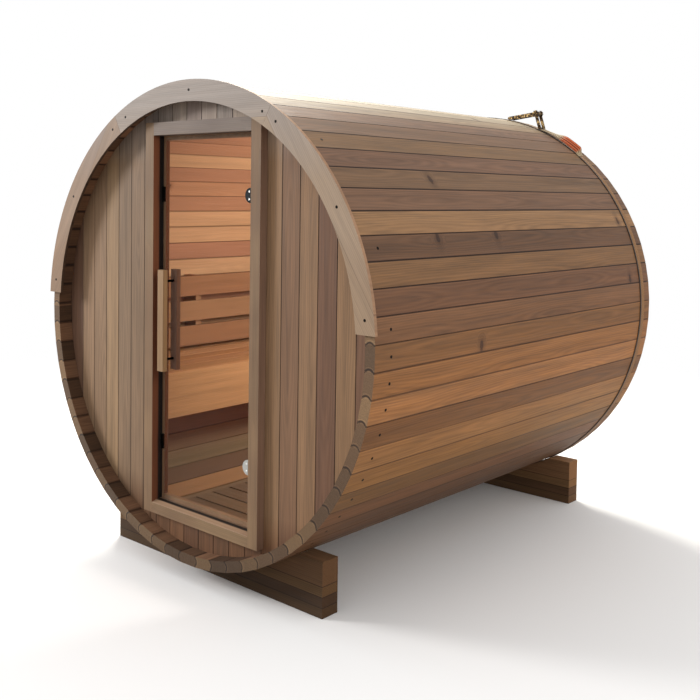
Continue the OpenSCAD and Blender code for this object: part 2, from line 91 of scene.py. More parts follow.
def cedar(tree, board, across, along, tones, seam=None, end=None, knot=None, calm=None, rough=0.62,
          streak=1.0):
    """Western red cedar: a warm, matt wood, streaked along the board and darker at its joints.

    Each board takes one of the tones by chance, unless tones is already a colour of the tree. Rings 7 mm
    apart bend where the board was cut close to the heart, by q = hypot(across - o, depth(along)). Streaks
    29 mm wide and 770 mm long and fibres 5 mm wide and 140 mm long run along it; both are coarser than
    real ones so that they show. seam is 0 at a joint and 1 on the board. end is a mask that is 1 on sawn
    ends, with the depth in the board, and there rings 5 mm apart show as arcs. knot is the distance from
    the nearest knot. calm, from 0 to 1, takes the streaks away; streak is how strong they are.
    """
    seed = add(tree, "Math", board, 3.71, 0.53, operation="MULTIPLY_ADD")
    chance = add(tree, "TexWhiteNoise", None, seed, noise_dimensions="1D")
    base = tones
    if isinstance(tones, list):
        ramp = [(k / (len(tones) - 1), c) for k, c in enumerate(tones)]
        base = add(tree, "ValToRGB", chance, ramp=ramp[:1] + ramp[-1:] + ramp[1:-1])
    broad = add(tree, "CombineXYZ", add(tree, "Math", across, 34.0, operation="MULTIPLY"),
                add(tree, "Math", along, 1.3, operation="MULTIPLY"), seed)
    broad = add(tree, "TexNoise", broad, None, 1.0, 3.0, 0.72)
    fine = add(tree, "CombineXYZ", add(tree, "Math", across, 210.0, operation="MULTIPLY"),
               add(tree, "Math", along, 7.0, operation="MULTIPLY"), seed)
    fine = add(tree, "TexNoise", fine, None, 1.0, 3.0, 0.6)
    drift = add(tree, "CombineXYZ", seed, add(tree, "Math", along, 1.1, operation="MULTIPLY"), 0.0)
    drift = add(tree, "TexNoise", drift, None, 1.0, 1.0, 0.5)
    off = add(tree, "Math", chance, 0.11, -0.055, operation="MULTIPLY_ADD")
    heart = add(tree, "CombineXYZ", add(tree, "Math", across, off, operation="SUBTRACT"),
                add(tree, "Math", drift, 0.09, -0.012, operation="MULTIPLY_ADD"), 0.0)
    ring = add(tree, "VectorMath", heart, operation="LENGTH", out="Value")
    if knot is not None:
        ring = add(tree, "MixRGB", add(tree, "MapRange", knot, 0.012, 0.045, 1.0, 0.0), ring, knot)
    wave = add(tree, "Math", ring, 2 * math.pi / 0.007, operation="MULTIPLY")
    wave = add(tree, "Math", add(tree, "Math", broad, 9.0, wave, operation="MULTIPLY_ADD"), operation="SINE")
    light = add(tree, "Math", wave, 0.06 * streak, 0.98 - 0.56 * streak, operation="MULTIPLY_ADD")
    light = add(tree, "Math", fine, 0.42 * streak, light, operation="MULTIPLY_ADD")
    light = add(tree, "Math", broad, 0.70 * streak, light, operation="MULTIPLY_ADD")
    if calm is not None:
        light = add(tree, "MixRGB", calm, light, (1.0, 1.0, 1.0, 1.0))
    colour = add(tree, "VectorMath", base, None, None, light, operation="SCALE")
    if knot is not None:
        resin = add(tree, "VectorMath", colour, (0.25, 0.18, 0.14), operation="MULTIPLY")
        eye = add(tree, "Math", fine, 0.012, knot, operation="MULTIPLY_ADD")
        colour = add(tree, "MixRGB", add(tree, "MapRange", eye, 0.015, 0.040, 0.40, 0.0), colour, resin)
        colour = add(tree, "MixRGB", add(tree, "MapRange", eye, 0.014, 0.019, 0.90, 0.0), colour, resin)
    if end is not None:
        sawn_face, depth = end
        year = add(tree, "CombineXYZ", add(tree, "Math", off, across, operation="SUBTRACT"),
                   add(tree, "Math", depth, 0.05, operation="ADD"), 0.0)
        year = add(tree, "VectorMath", year, operation="LENGTH", out="Value")
        year = add(tree, "Math", year, 2 * math.pi / 0.005, operation="MULTIPLY")
        year = add(tree, "Math", year, operation="SINE")
        pores = add(tree, "VectorMath", add(tree, "CombineXYZ", across, depth, seed), (280.0, 280.0, 1.0),
                    operation="MULTIPLY")
        pores = add(tree, "TexNoise", pores, None, 1.0, 3.0, 0.6)
        shade = add(tree, "Math", pores, 1.0, 0.38, operation="MULTIPLY_ADD")
        shade = add(tree, "Math", year, 0.09, shade, operation="MULTIPLY_ADD")
        cut = add(tree, "VectorMath", base, None, None, shade, operation="SCALE")
        colour = add(tree, "MixRGB", sawn_face, colour, cut)
    if seam is not None:
        dirt = add(tree, "VectorMath", colour, (0.17, 0.13, 0.11), operation="MULTIPLY")
        colour = add(tree, "MixRGB", seam, dirt, colour)
    height = add(tree, "Math", wave, 0.25, fine, operation="MULTIPLY_ADD")
    bump = add(tree, "Bump", 0.25, 0.0008, named={"Height": height})
    dull = add(tree, "MapRange", fine, 0.3, 0.7, rough - 0.08, rough + 0.08)
    shader = add(tree, "BsdfPrincipled", named={"Base Color": colour, "Roughness": dull, "Normal": bump,
                                                "Specular IOR Level": 0.3})
    add(tree, "OutputMaterial", shader)


def joint(tree, place, pitch, wide):
    """0 at joints that repeat every pitch along place, rising smoothly to 1 at wide metres from them."""
    turn = add(tree, "Math", place, 1 / pitch, operation="MULTIPLY")
    gap = add(tree, "Math", turn, add(tree, "Math", turn, operation="ROUND"), operation="SUBTRACT")
    gap = add(tree, "Math", add(tree, "Math", gap, operation="ABSOLUTE"), pitch, operation="MULTIPLY")
    return add(tree, "MapRange", gap, 0.0004, wide, 0.0, 1.0, interpolation_type="SMOOTHSTEP")


# Rough-sawn cedar, dark: dull faces with strong streaks, thin lines at the joints of the stack and arcs of
# grain on the sawn ends. The rear cradle is paler by painted light, and the broad faces that look along the
# barrel are darker by painted shade.
BOARD_H = 0.038
sawn, tree = finish_of("sawn_cedar_cradle")
where = add(tree, "TexCoord", out="Object").node
place = add(tree, "SeparateXYZ", where.outputs["Object"]).node.outputs
stack = add(tree, "Math", place["Z"], 3 * BOARD_H - 0.0001, operation="MINIMUM")
layer = add(tree, "Math", add(tree, "Math", stack, 1 / BOARD_H, operation="MULTIPLY"), operation="FLOOR")
layer = add(tree, "Math", add(tree, "Math", place["Y"], 0.0, operation="GREATER_THAN"), 7.0, layer,
            operation="MULTIPLY_ADD")
facing = add(tree, "SeparateXYZ", where.outputs["Normal"]).node.outputs
which = add(tree, "MapRange", stack, 0.0, 4 * BOARD_H)
tones = add(tree, "ValToRGB", which, ramp=[
    (0.0, "#5b442e"), (1.0, "#7a5b40"), (0.25, "#543d2a"), (0.5, "#765a3d"), (0.74, "#7a5b40")])
tones.node.color_ramp.interpolation = "CONSTANT"
# Painted light and shade: up to twice as pale towards the rear, and 0.6 times as dark on faces that look
# along the barrel.
painted_rear_light = add(tree, "MapRange", place["Y"], -0.8, 0.9, 1.0, 2.0)
painted_face_shade = add(tree, "MapRange", add(tree, "Math", facing["Y"], operation="ABSOLUTE"), 0.5, 0.9, 1.0, 0.60)
tones = add(tree, "VectorMath", tones, None, None, add(tree, "Math", painted_rear_light, painted_face_shade, operation="MULTIPLY"),
            operation="SCALE")
sawn_end = add(tree, "MapRange", add(tree, "Math", facing["X"], operation="ABSOLUTE"), 0.6, 0.9, 0.0, 1.0)
end_tones = add(tree, "VectorMath", tones, (0.72, 0.62, 0.48), operation="MULTIPLY")
tones = add(tree, "MixRGB", sawn_end, tones, end_tones)
lowest = add(tree, "Math", place["Z"], 3.5 * BOARD_H, operation="MINIMUM")
cedar(tree, layer, add(tree, "Math", place["Z"], place["Y"], operation="ADD"), place["X"], tones,
      seam=joint(tree, lowest, BOARD_H, 0.0020), end=(sawn_end, place["Y"]), rough=0.78, streak=1.7)
dress(sawn, "cradle_front", "cradle_rear")


# Staves: 65 cedar boards round the barrel, each milled with a bead on one edge and a cove on the other so
# that every joint closes at any angle. The beads point up on both sides. Inside they keep a fresher colour.
STAVES, AXIS_Z = 65, 0.984
SEAM, STEP = math.radians(2), 2 * math.pi / STAVES
INNER, MIDDLE, OUTER = 0.87193, 0.89243, 0.91293
BEAD_R, BEAD_BACK, BEAD_HALF = 0.018722, 0.009922, 0.016
CABIN_HALF = 0.9466
PITCH_MID = STEP * MIDDLE


def in_order(tree, board, first, order):
    """The value that a list of tones gives to each board, counted up from the first one."""
    place = add(tree, "MapRange", board, first, first + len(order), 0.01, 1.01)
    stops = [(k / len(order), tone) for k, tone in enumerate(order)]
    tone = add(tree, "ValToRGB", place, ramp=[(0.0, order[0]), (1.0, order[-1])] + stops[1:-1])
    tone.node.color_ramp.interpolation = "CONSTANT"
    return tone


# Planed cedar in the weather: boards from dark heartwood to pale sapwood, with dark joints and a few knots.
# Painted warm light makes them redder below, a painted highlight pales them along the top and another runs
# beside each joint. Indoors it stays orange, with painted light and shade under the bench. The inner faces in
# front of the end walls are darkened by painted shade; the sawn ends are dull, darker towards the bottom by
# painted shade and lighter beside their joints by painted highlights.
stave, tree = finish_of("planed_cedar_staves")
where = add(tree, "TexCoord", out="Object").node
place = add(tree, "SeparateXYZ", where.outputs["Object"]).node.outputs
up = add(tree, "Math", place["Z"], AXIS_Z, operation="SUBTRACT")
radius = add(tree, "VectorMath", add(tree, "CombineXYZ", place["X"], 0.0, up), operation="LENGTH",
             out="Value")
turn = add(tree, "Math", add(tree, "Math", up, place["X"], operation="ARCTAN2"), 1 / STEP, -SEAM / STEP,
           operation="MULTIPLY_ADD")
nearest = add(tree, "Math", turn, operation="ROUND")
side = add(tree, "Math", add(tree, "Math", add(tree, "Math", nearest, STEP, SEAM, operation="MULTIPLY_ADD"),
           operation="COSINE"), operation="SIGN")
past = add(tree, "Math", add(tree, "Math", turn, nearest, operation="SUBTRACT"), side, operation="MULTIPLY")
past = add(tree, "Math", add(tree, "Math", past, STEP, operation="MULTIPLY"), radius, operation="MULTIPLY")
deep = add(tree, "Math", radius, MIDDLE, operation="SUBTRACT")
bead = add(tree, "VectorMath", add(tree, "CombineXYZ", deep, add(tree, "Math", past, BEAD_BACK,
           operation="ADD"), 0.0), operation="LENGTH", out="Value")
owner = add(tree, "Math", add(tree, "Math", bead, BEAD_R, operation="LESS_THAN"),
            add(tree, "Math", past, 0.0, operation="LESS_THAN"), operation="MAXIMUM")
board = add(tree, "Math", side, 0.5, add(tree, "Math", nearest, 0.5, operation="SUBTRACT"),
            operation="MULTIPLY_ADD")
board = add(tree, "Math", board, add(tree, "Math", owner, side, operation="MULTIPLY"), operation="SUBTRACT")
across = add(tree, "Math", add(tree, "Math", turn, board, operation="SUBTRACT"), PITCH_MID, -PITCH_MID / 2,
             operation="MULTIPLY_ADD")
on_lip = add(tree, "Math", add(tree, "Math", deep, operation="ABSOLUTE"), BEAD_HALF, operation="GREATER_THAN")
arc = add(tree, "Math", add(tree, "Math", bead, BEAD_R, operation="SUBTRACT"), operation="ABSOLUTE")
arc = add(tree, "MixRGB", add(tree, "Math", past, 0.0, operation="GREATER_THAN"), (1.0, 1.0, 1.0, 1.0), arc)
gap = add(tree, "MixRGB", on_lip, arc, add(tree, "Math", past, operation="ABSOLUTE"))
slack = add(tree, "TexWhiteNoise", None, add(tree, "Math", nearest, 2.31, 4.7, operation="MULTIPLY_ADD"),
            noise_dimensions="1D")
# Joints differ in width by chance. Those of the lower half are tighter, so they show less.
tight = add(tree, "MapRange", slack, 0.0, 1.0, 0.62, 0.30)
tight = add(tree, "Math", tight, add(tree, "MapRange", up, -0.15, 0.25, 1.0, 0.1), operation="MULTIPLY")
slack = add(tree, "MapRange", slack, 0.0, 1.0, 0.0024, 0.0058)
facing = add(tree, "SeparateXYZ", where.outputs["Normal"]).node.outputs
end = add(tree, "MapRange", add(tree, "Math", facing["Y"], operation="ABSOLUTE"), 0.6, 0.9, 0.0, 1.0)
inner = add(tree, "Math", radius, INNER + 0.004, operation="LESS_THAN")
in_cabin = add(tree, "Math", add(tree, "Math", place["Y"], operation="ABSOLUTE"), CABIN_HALF,
               operation="LESS_THAN")
in_cabin = add(tree, "Math", inner, in_cabin, operation="MULTIPLY")
in_rim = add(tree, "Math", inner, in_cabin, operation="SUBTRACT")
slack = add(tree, "Math", in_rim, 0.005, slack, operation="MULTIPLY_ADD")
core = add(tree, "MapRange", up, 0.1, 0.5, 0.0013, 0.0022)
seam = add(tree, "MapRange", gap, core, add(tree, "Math", slack, core, operation="MAXIMUM"), 0.0, 1.0,
           interpolation_type="SMOOTHSTEP")
tight = add(tree, "MixRGB", in_cabin, tight, (0.45, 0.45, 0.45, 1.0))
tight = add(tree, "MixRGB", end, tight, (0.0, 0.0, 0.0, 1.0))
seam = add(tree, "Math", seam, tight, operation="MAXIMUM")
# Painted highlight: up to 1.28 times lighter in a line about 5 mm from each joint, on the rounded edge of the
# board.
painted_arris_highlight = add(tree, "Math", add(tree, "Math", past, 0.0052, operation="ADD"), operation="ABSOLUTE")
painted_arris_highlight = add(tree, "MapRange", painted_arris_highlight, 0.0, 0.0022, 1.28, 1.0)
# The order of tones on the right, from the eleventh stave below the first seam up to the seventeenth above
# it: 0 is dark heartwood, 1 pale sapwood. The other staves take theirs by chance.
known = in_order(tree, board, -11, [
    0.05, 0.05, 0.08, 0.28, 0.50, 0.92, 0.97, 0.45, 1.00, 0.90, 0.60, 0.40, 0.20, 0.60, 0.10, 0.92, 0.32,
    0.45, 0.30, 0.60, 0.40, 0.35, 0.55, 0.50, 0.70, 0.60, 0.80, 0.70])
chance = add(tree, "TexWhiteNoise", None, add(tree, "Math", board, 1.37, 9.1, operation="MULTIPLY_ADD"),
             noise_dimensions="1D")
seen = add(tree, "Math", add(tree, "Math", board, 3.0, operation="SUBTRACT"), operation="ABSOLUTE")
pick = add(tree, "MixRGB", add(tree, "Math", seen, 14.5, operation="LESS_THAN"), chance, known)
outside = add(tree, "ValToRGB", pick, ramp=[
    (0.0, "#523a2c"), (1.0, "#9d7c66"), (0.1, "#64493a"), (0.3, "#77584a"), (0.5, "#775c49"),
    (0.75, "#876548"), (0.92, "#927056")])
# Painted warm light: redder below the middle, more yellow near the bottom, only a little warm at the top.
painted_warm_light = add(tree, "MapRange", up, -0.2, 0.45, 0.0, 1.0)
painted_warm_light = add(tree, "MixRGB", painted_warm_light, (1.13, 0.83, 0.45, 1.0), (0.98, 0.95, 0.76, 1.0))
yellow = add(tree, "MapRange", up, -0.45, -0.20, 1.0, 0.0)
outside = add(tree, "VectorMath", outside, add(tree, "MixRGB", yellow, painted_warm_light, (1.17, 1.00, 0.60, 1.0)),
              operation="MULTIPLY")
outside = add(tree, "VectorMath", outside, None, None, painted_arris_highlight, operation="SCALE")
# Painted highlight: the topmost staves are mixed towards a pale cream, for the light that falls on them.
painted_top_highlight = add(tree, "MapRange", up, 0.80, 0.905, 0.0, 0.65)
outside = add(tree, "MixRGB", painted_top_highlight, outside, linear("#cbbfa4"))
# The same for the staves of the left wall indoors, the twentieth to the thirty-first, from the top down.
known = in_order(tree, board, 20, [0.2, 0.1, 0.15, 0.8, 0.1, 0.25, 0.15, 0.7, 0.65, 0.05, 0.7, 0.5])
seen = add(tree, "Math", add(tree, "Math", board, 25.5, operation="SUBTRACT"), operation="ABSOLUTE")
pick = add(tree, "MixRGB", add(tree, "Math", seen, 6.0, operation="LESS_THAN"), chance, known)
inside = add(tree, "ValToRGB", pick, ramp=[
    (0.0, "#ae7b60"), (1.0, "#d3a57c"), (0.3, "#bd8b67"), (0.6, "#c99c74")])
# Painted light and shade under the bench: the staves in its shadow are made up to 1.75 times paler, and those
# near the floor about 0.4 times as dark.
painted_bench_shading = add(tree, "MapRange", up, -0.69, -0.58, 1.0, 0.0)
painted_bench_shading = add(tree, "MixRGB", painted_bench_shading, (1.5, 1.65, 1.75, 1.0), (0.41, 0.46, 0.45, 1.0))
painted_bench_shading = add(tree, "MixRGB", add(tree, "MapRange", up, -0.30, -0.26), painted_bench_shading, (1.0, 1.0, 1.0, 1.0))
# The lowest stave seen, at the floor's edge, is less dark and redder: painted light, as it lies out of the
# bench's shadow.
lowest = add(tree, "Math", board, -22.0, 0.5, operation="COMPARE")
inside = add(tree, "VectorMath", inside, add(tree, "MixRGB", lowest, painted_bench_shading, (0.60, 0.53, 0.44, 1.0)),
             operation="MULTIPLY")
base = add(tree, "MixRGB", in_cabin, outside, inside)
# Painted shade: the inner faces of the staves in front of the end walls take dark tones, as in a recess, made
# up to 1.7 times paler towards the top by painted light.
painted_shade_rim = add(tree, "ValToRGB", chance, ramp=[(0.0, "#453020"), (1.0, "#7c5a42"), (0.5, "#604430")])
painted_shade_rim = add(tree, "VectorMath", painted_shade_rim, None, None, add(tree, "MapRange", up, 0.1, 0.6, 1.0, 1.7),
          operation="SCALE")
base = add(tree, "MixRGB", in_rim, base, painted_shade_rim)
sawn_end = add(tree, "ValToRGB", chance, ramp=[
    (0.0, "#644c36"), (1.0, "#9a7a58"), (0.3, "#755940"), (0.7, "#876a4c")])
# Painted shade and highlight on the sawn ends: darker towards the bottom, and up to 1.45 times lighter in a
# line beside each joint.
painted_shading = add(tree, "MapRange", up, -0.85, -0.1, 0.50, 0.90)
painted_lip_highlight = add(tree, "Math", add(tree, "Math", gap, 0.0066, operation="SUBTRACT"), operation="ABSOLUTE")
painted_shading = add(tree, "Math", painted_shading, add(tree, "MapRange", painted_lip_highlight, 0.0, 0.0026, 1.45, 1.0), operation="MULTIPLY")
sawn_end = add(tree, "VectorMath", sawn_end, None, None, painted_shading, operation="SCALE")
base = add(tree, "MixRGB", end, base, sawn_end)
# Knots, as stave number with a fraction across it, and place along the barrel. They are taller than wide.
TALL = PITCH_MID * 0.55
spot = add(tree, "CombineXYZ", add(tree, "Math", turn, TALL, operation="MULTIPLY"), place["Y"], 0.0)
knot = 1.0
for number, y in ((6.52, -0.464), (3.80, -0.582), (3.84, -0.203), (4.36, 0.861), (1.25, 0.832),
                  (-0.72, -0.40), (12.4, 0.45), (19.5, 0.30), (25.4, -0.55), (29.6, 0.62), (-13.5, 0.10),
                  (-20.6, -0.50), (-27.4, 0.35)):
    far = add(tree, "VectorMath", spot, (number * TALL, y, 0.0), operation="DISTANCE", out="Value")
    other = add(tree, "Math", board, math.floor(number), 0.5, operation="COMPARE")
    far = add(tree, "Math", far, add(tree, "Math", 1.0, other, operation="SUBTRACT"), operation="ADD")
    knot = add(tree, "Math", far, knot, operation="MINIMUM")
cedar(tree, board, across, place["Y"], base, seam=seam, knot=knot, end=(end, deep),
      calm=add(tree, "Math", in_cabin, 0.6, operation="MULTIPLY"), streak=1.7)
dress(stave, *(f"stave_panel_{k:02d}" for k in range(1, 14)))


# Stave screws: dark countersunk screws in the middle of the staves, over the front wall that they hold. There
# is one in every stave of the lower half and one in every fifth stave above it.
def piece(name, verts, faces, smooth=True):
    """A new object of that name at the origin, from its points and faces."""
    mesh = bpy.data.meshes.new(name)
    mesh.from_pydata(np.reshape(verts, (-1, 3)).tolist(), [], faces)
    mesh.polygons.foreach_set("use_smooth", np.full(len(mesh.polygons), smooth))
    made = bpy.data.objects.new(name, mesh)
    bpy.context.collection.objects.link(made)
    return made


def heads(name, centres, outs, radius, rise):
    """Low round screw heads: p(s, t) = centre + radius * s * (u cos t + v sin t) + lift(s) * out.

    u and v span the plane across the outward direction out. lift is a share of rise at six steps of s: a
    dished middle, a crown and a rounded edge. Both ends of each head are closed.
    """
    centres, outs = np.atleast_2d(centres).astype(float), np.atleast_2d(outs).astype(float)
    s = np.array([0.02, 0.3, 0.5, 0.72, 0.9, 1.0])
    lift = rise * np.array([0.45, 0.45, 0.9, 1.0, 0.8, 0.0])
    turn = np.linspace(0, 2 * math.pi, 13)[:-1]
    helper = np.where(np.abs(outs[:, 2:3]) < 0.9, [[0.0, 0.0, 1.0]], [[1.0, 0.0, 0.0]])
    u = np.cross(helper, outs)
    u /= np.linalg.norm(u, axis=1, keepdims=True)
    v = np.cross(outs, u)
    ring = radius * s[:, None, None] * (np.cos(turn)[None, :, None] * u[:, None, None, :]
                                        + np.sin(turn)[None, :, None] * v[:, None, None, :])
    verts = centres[:, None, None, :] + ring + lift[None, :, None, None] * outs[:, None, None, :]
    n, a, b = verts.shape[:3]
    i, j = np.meshgrid(np.arange(a - 1), np.arange(b), indexing="ij")
    after = (j + 1) % b
    quads = np.stack([i * b + j, (i + 1) * b + j, (i + 1) * b + after, i * b + after], -1).reshape(-1, 4)
    quads = (quads[None] + (np.arange(n) * a * b)[:, None, None]).reshape(-1, 4)
    caps = np.arange(b)[None] + (np.arange(n) * a * b)[:, None]
    caps = np.concatenate([caps, caps[:, ::-1] + (a - 1) * b])
    return piece(name, verts, quads.tolist() + caps.tolist())


# Black-oxided steel: near black, with a soft metal glint and fine grit.
dark_screw, tree = finish_of("black_oxide_steel")
where = add(tree, "TexCoord", out="Object")
grit = add(tree, "TexNoise", where, None, 900.0, 2.0, 0.5)
colour = add(tree, "MixRGB", grit, linear("#0b0908"), linear("#191512"))
add(tree, "OutputMaterial", add(tree, "BsdfPrincipled", named={
    "Base Color": colour, "Metallic": 1.0, "Roughness": add(tree, "MapRange", grit, 0.3, 0.7, 0.4, 0.6)}))

WALL_Y = -0.9255
number = np.arange(STAVES)
turns = SEAM + (number + 0.5) * STEP
turns = turns[(np.sin(turns) < 0.1) | (number % 5 == 3)]
out = np.stack([np.cos(turns), 0 * turns, np.sin(turns)], 1)
stave_screws = heads("stave_screws", out * OUTER + [0, WALL_Y, AXIS_Z], out, 0.0056, 0.0008)
stave_screws.data.materials.append(dark_screw)
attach(stave_screws, "sauna")


# End walls: upright tongue-and-groove cedar boards, 87 mm wide, held in a groove round the inside of the
# staves. The front one has greyed a little more than the barrel.
# Planed cedar boards, a little greyed: matt, streaked upright and dark at the grooves. Painted shade makes
# them darker and redder to the right and at the foot, and painted sky light makes them paler and bluer under
# the arch.
WALL_BOARD = 0.087
wall, tree = finish_of("planed_cedar_wall")
where = add(tree, "TexCoord", out="Object").node
place = add(tree, "SeparateXYZ", where.outputs["Object"]).node.outputs
board = add(tree, "Math", add(tree, "Math", place["X"], 1 / WALL_BOARD, operation="MULTIPLY"),
            operation="FLOOR")
across = add(tree, "Math", add(tree, "Math", board, -WALL_BOARD, place["X"], operation="MULTIPLY_ADD"),
             WALL_BOARD / 2, operation="SUBTRACT")
# The order of tones on the front, from the eleventh board left of the middle to the eleventh right of it.
known = in_order(tree, board, -11, [
    0.3, 0.0, 0.75, 0.7, 0.95, 0.5, 0.55, 0.5, 0.6, 0.8, 0.4, 0.7, 0.5, 0.85, 0.6, 0.85, 0.35, 0.8, 0.05, 0.9,
    0.1, 0.5])
rear = add(tree, "Math", place["Y"], 0.0, operation="GREATER_THAN")
board = add(tree, "Math", rear, 31.0, board, operation="MULTIPLY_ADD")
chance = add(tree, "TexWhiteNoise", None, add(tree, "Math", board, 2.17, 5.3, operation="MULTIPLY_ADD"),
             noise_dimensions="1D")
base = add(tree, "ValToRGB", add(tree, "MixRGB", rear, known, chance), ramp=[
    (0.0, "#6f5444"), (1.0, "#967c5f"), (0.3, "#80644f"), (0.5, "#806a55"), (0.75, "#8c725a")])
# Painted shade: darker and redder towards the right.
shaded = add(tree, "MapRange", place["X"], -0.5, 0.7, 0.0, 1.0)
shaded = add(tree, "MixRGB", shaded, (0.97, 0.94, 0.90, 1.0), (0.92, 0.80, 0.69, 1.0))
base = add(tree, "VectorMath", base, shaded, operation="MULTIPLY")
# Painted sky light: paler and bluer at the top of the front wall, under the arch.
sky = add(tree, "MapRange", place["Z"], 1.60, 1.80, 0.0, 1.0)
sky = add(tree, "Math", sky, add(tree, "Math", 1.0, rear, operation="SUBTRACT"), operation="MULTIPLY")
lit = add(tree, "VectorMath", base, (1.55, 2.05, 3.0), operation="MULTIPLY")
base = add(tree, "MixRGB", sky, base, lit)
# Painted shade at the foot, under the sill and the stave ends.
painted_shading = add(tree, "MapRange", place["Z"], 0.20, 0.34, 1.0, 0.0)
painted_foot_shade = add(tree, "VectorMath", base, (0.62, 0.48, 0.40), operation="MULTIPLY")
base = add(tree, "MixRGB", painted_shading, base, painted_foot_shade)
cedar(tree, board, across, place["Z"], base, seam=joint(tree, place["X"], WALL_BOARD, 0.0030), streak=1.4)
dress(wall, "front_wall_left", "front_wall_right", "front_wall_top", "front_wall_bottom", "rear_wall")


# Arch: a flat hood of three cedar pieces on the ends of the staves, each sawn from straight boards glued edge
# to edge, so its grain runs straight and a glue line cuts off its inner corners. Held by nine screws.
# Weathered cedar: silver grey on the face, with fine dark lines where the pieces meet. Painted sky light
# makes it greyer near the top; the outer edge is warmer by painted light and the inner one dark by painted
# shade.
ARCH_JOINT, ARCH_SCREW_R = math.radians(29), 0.886
for name, lean, glue, part in (("arch_left", 57.6, 0.838, 0), ("arch_top", 0.0, 0.769, 1),
                               ("arch_right", 122.4, 0.843, -1)):
    arch, tree = finish_of("weathered_cedar_" + name)
    where = add(tree, "TexCoord", out="Object").node
    place = add(tree, "SeparateXYZ", where.outputs["Object"]).node.outputs
    up = add(tree, "Math", place["Z"], AXIS_Z, operation="SUBTRACT")
    c, s = math.cos(math.radians(lean)), math.sin(math.radians(lean))
    along = add(tree, "Math", place["X"], c, add(tree, "Math", up, s, operation="MULTIPLY"),
                operation="MULTIPLY_ADD")
    across = add(tree, "Math", place["X"], -s, add(tree, "Math", up, c, operation="MULTIPLY"),
                 operation="MULTIPLY_ADD")
    past = add(tree, "Math", add(tree, "Math", across, operation="ABSOLUTE"), -glue, operation="ADD")
    if part:
        other = add(tree, "Math", along, -9.0 * part, operation="MULTIPLY")
        past = add(tree, "Math", past, other, operation="MAXIMUM")
    if name == "arch_right":
        lean_gap = add(tree, "Math", add(tree, "Math", across, operation="ABSOLUTE"), -0.775, operation="ADD")
        corner = add(tree, "Math", lean_gap, add(tree, "Math", up, -0.770, operation="ADD"),
                     operation="MAXIMUM")
        past = add(tree, "Math", past, corner, operation="MINIMUM")
    strip = add(tree, "Math", past, 0.0, operation="LESS_THAN")
    line = add(tree, "MapRange", add(tree, "Math", past, operation="ABSOLUTE"), 0.0, 0.0012, 0.45, 1.0)
    turn = add(tree, "Math", add(tree, "Math", up, place["X"], operation="ARCTAN2"), -math.pi / 2,
               operation="ADD")
    butt = add(tree, "Math", add(tree, "Math", turn, operation="ABSOLUTE"), -ARCH_JOINT, operation="ADD")
    butt = add(tree, "MapRange", add(tree, "Math", butt, operation="ABSOLUTE"), 0.0, 0.0014, 0.35, 1.0)
    if name != "arch_left":
        butt = add(tree, "Math", butt, strip, operation="MAXIMUM")
    facing = where.outputs["Normal"]
    front = add(tree, "Math", add(tree, "SeparateXYZ", facing, out="Y"), -0.5, operation="LESS_THAN")
    rising = add(tree, "VectorMath", facing, add(tree, "CombineXYZ", place["X"], 0.0, up),
                 operation="DOT_PRODUCT", out="Value")
    # Painted light and shade on the edges: warm and pale on the outer one, dark on the inner one.
    edge = add(tree, "MixRGB", add(tree, "Math", rising, 0.0, operation="GREATER_THAN"), linear("#4d392b"),
               linear("#a37d5f"))
    # Painted sky light: greyer and paler towards the top.
    painted_sky_light = add(tree, "MapRange", up, 0.55, 0.85, 0.0, 1.0)
    low = add(tree, "MapRange", up, 0.06, 0.40, 1.0, 0.0)
    greyed_and_painted_light = add(tree, "MixRGB", low, linear("#a08a74"), linear("#977c62"))
    greyed_and_painted_light = add(tree, "MixRGB", painted_sky_light, greyed_and_painted_light, linear("#9b9088"))
    paler = add(tree, "MixRGB", painted_sky_light, linear("#9a826a"), linear("#a3917e"))
    greyed_and_painted_light = add(tree, "MixRGB", strip, greyed_and_painted_light, paler)
    if name == "arch_left":
        greyed_and_painted_light = add(tree, "VectorMath", greyed_and_painted_light, (0.84, 0.79, 0.79), operation="MULTIPLY")
    cedar(tree, add(tree, "Math", strip, 2.0 + part, operation="ADD"), across, along,
          add(tree, "MixRGB", front, edge, greyed_and_painted_light), seam=add(tree, "Math", line, butt, operation="MINIMUM"))
    dress(arch, name)
turns = np.radians([89.2, 115.2, 121.5, 147.1, 172.4, 62.7, 57.8, 31.6, 7.1])
spots = np.stack([ARCH_SCREW_R * np.cos(turns), np.full(9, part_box("arch_top")[0][1]),
                  AXIS_Z + ARCH_SCREW_R * np.sin(turns)], 1)
arch_screws = heads("arch_screws", spots, np.tile([0.0, -1.0, 0.0], (9, 1)), 0.0055, 0.0008)
arch_screws.data.materials.append(dark_screw)
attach(arch_screws, "sauna")


